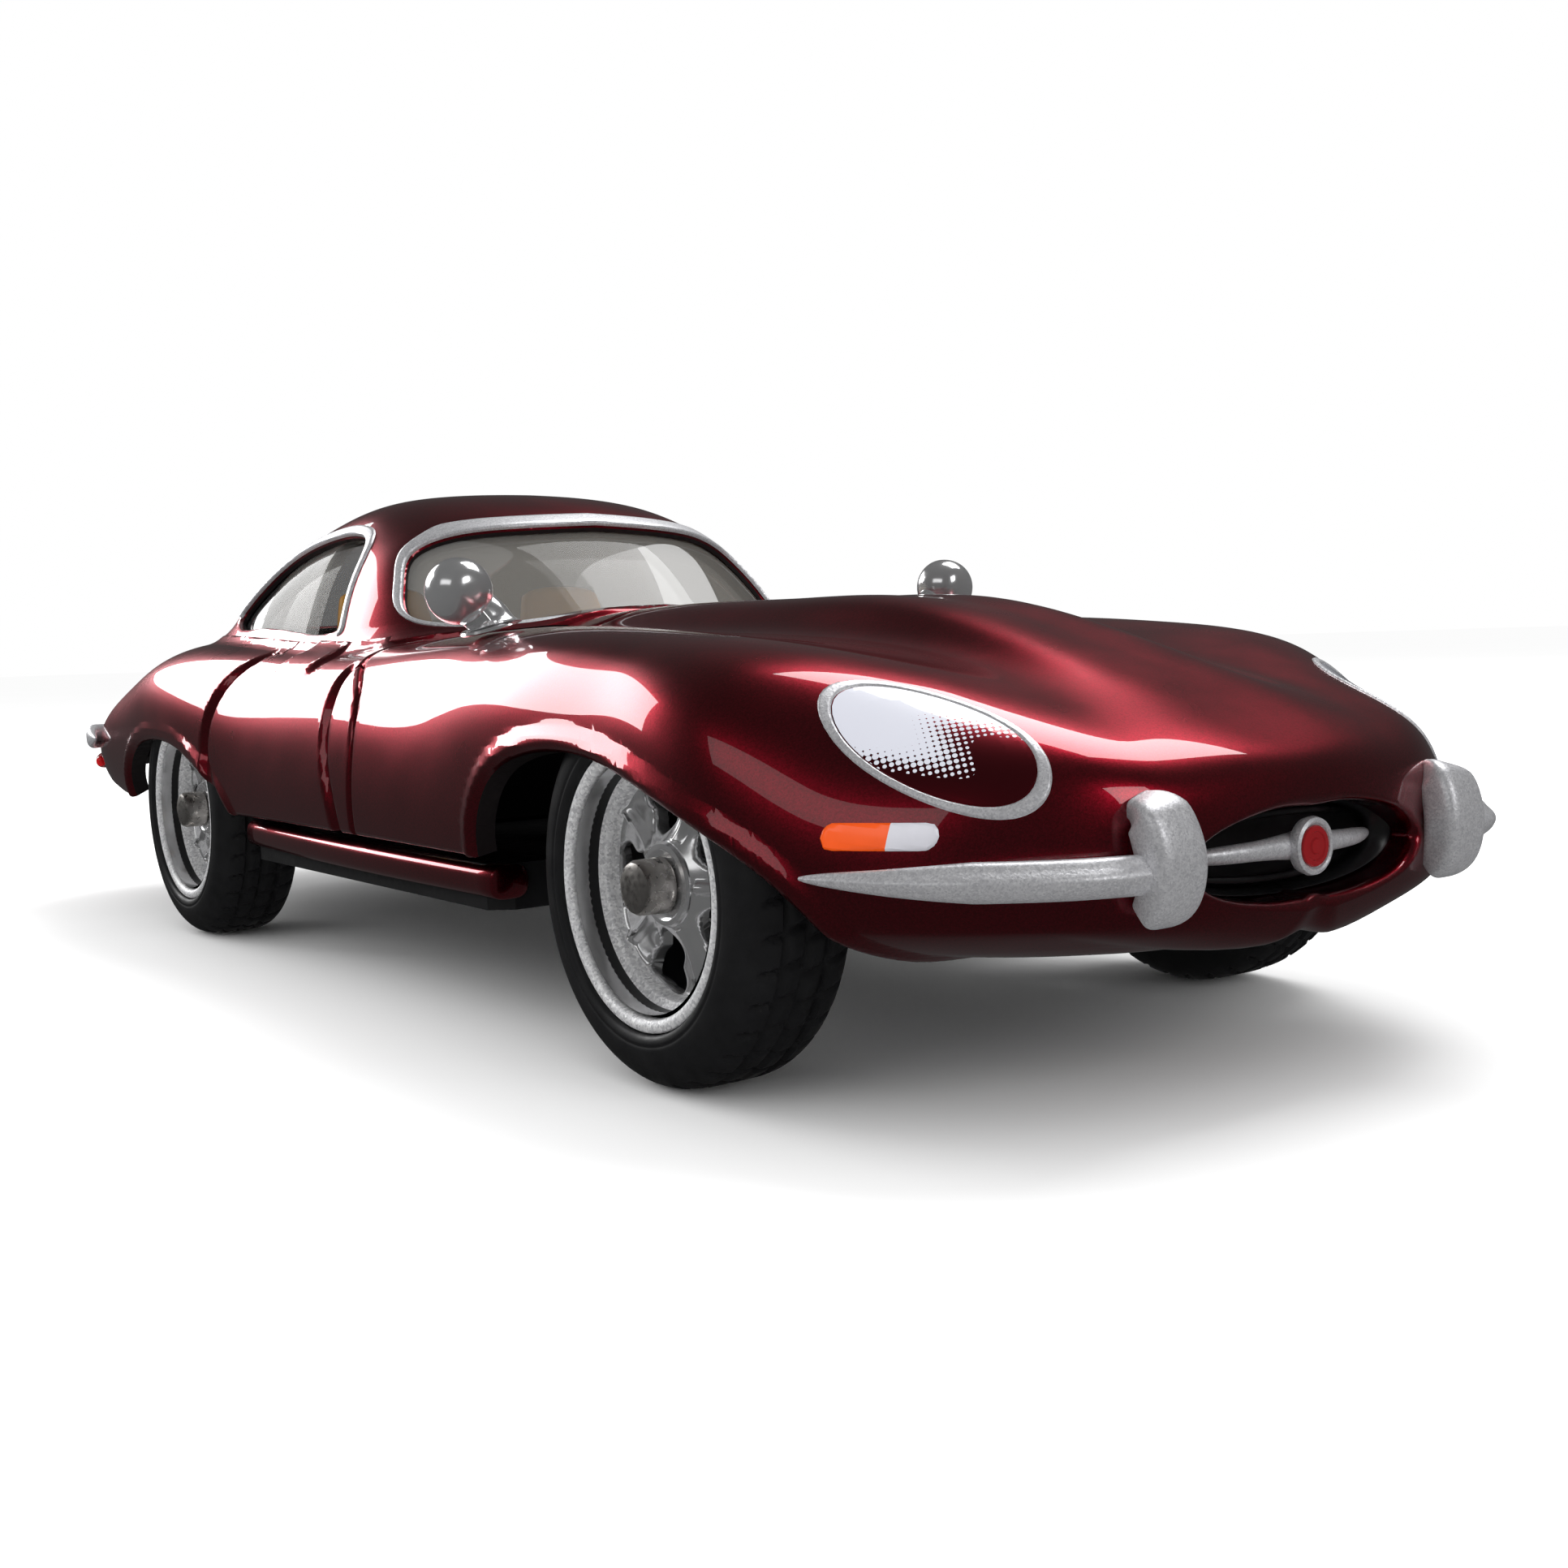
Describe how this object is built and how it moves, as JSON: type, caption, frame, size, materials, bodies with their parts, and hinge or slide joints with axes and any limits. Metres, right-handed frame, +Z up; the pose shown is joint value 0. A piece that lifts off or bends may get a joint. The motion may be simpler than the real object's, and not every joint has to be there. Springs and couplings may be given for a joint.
{
  "type": "diecast collector car",
  "caption": "Small die-cast model of a long-bonnet fastback sports coupe with free-rolling wheels, a forward-tilting bonnet, clear glazing and a fitted cabin.",
  "frame": {"origin": "centre of the overall box at ground level, where the tyres stand", "axes": "+X towards the nose, +Y towards the car's left side, +Z up"},
  "size_m": [0.0728, 0.0272, 0.0193],
  "materials": {
    "candy_red": "metallic candy red paint",
    "silver_paint": "granular silver paint",
    "chrome_plating": "vacuum-plated chrome",
    "steel": "bright steel",
    "rubber": "matte rubber",
    "black_base": "satin black with body-colour sills",
    "black_plastic": "satin",
    "tan_plastic": "satin",
    "clear_plastic": "clear gloss plastic",
    "red_lens": "gloss",
    "red_enamel": "gloss",
    "cast_grey": "plated grey"
  },
  "bodies": {
    "chassis": {"body_shell": "candy_red", "chassis_base": "black_base", "glazing": "clear_plastic", "interior_tub": "tan_plastic", "seat_left": "tan_plastic", "seat_right": "tan_plastic", "dashboard": "black_plastic", "steering_wheel": "black_plastic", "engine_block": "cast_grey", "bumper_rear_left": "silver_paint", "bumper_rear_right": "silver_paint", "tail_lamp_left": "red_lens", "tail_lamp_right": "red_lens", "bonnet_hinge_pin": "steel", "axle_front": "steel", "axle_rear": "steel", "axle_strap_front": "black_plastic", "axle_strap_rear": "black_plastic", "base_screw_front": "steel", "base_screw_rear": "steel"},
    "bonnet_assembly": {"bonnet": "candy_red", "grille_insert": "black_plastic", "grille_bar": "silver_paint", "badge_disc": "red_enamel", "bumper_front_left": "silver_paint", "bumper_front_right": "silver_paint", "mirror_left": "chrome_plating", "mirror_right": "chrome_plating"},
    "wheel_front_left": {"rim_front_left": "chrome_plating", "tyre_front_left": "rubber"},
    "wheel_front_right": {"rim_front_right": "chrome_plating", "tyre_front_right": "rubber"},
    "wheel_rear_left": {"rim_rear_left": "chrome_plating", "tyre_rear_left": "rubber"},
    "wheel_rear_right": {"rim_rear_right": "chrome_plating", "tyre_rear_right": "rubber"}
  },
  "joints": [
    {"name": "bonnet_tilt", "type": "hinge", "parent": "chassis", "child": "bonnet_assembly", "pos_m": [0.0324, 0, 0.005], "axis": [0, 1, 0], "range_deg": [0, 55]},
    {"name": "spin_front_left", "type": "hinge", "parent": "chassis", "child": "wheel_front_left", "pos_m": [0.02279, 0.011, 0.00568], "axis": [0, 1, 0], "continuous": true},
    {"name": "spin_front_right", "type": "hinge", "parent": "chassis", "child": "wheel_front_right", "pos_m": [0.02279, -0.011, 0.00568], "axis": [0, 1, 0], "continuous": true},
    {"name": "spin_rear_left", "type": "hinge", "parent": "chassis", "child": "wheel_rear_left", "pos_m": [-0.0153, 0.0113, 0.00568], "axis": [0, 1, 0], "continuous": true},
    {"name": "spin_rear_right", "type": "hinge", "parent": "chassis", "child": "wheel_rear_right", "pos_m": [-0.0153, -0.0113, 0.00568], "axis": [0, 1, 0], "continuous": true}
  ]
}
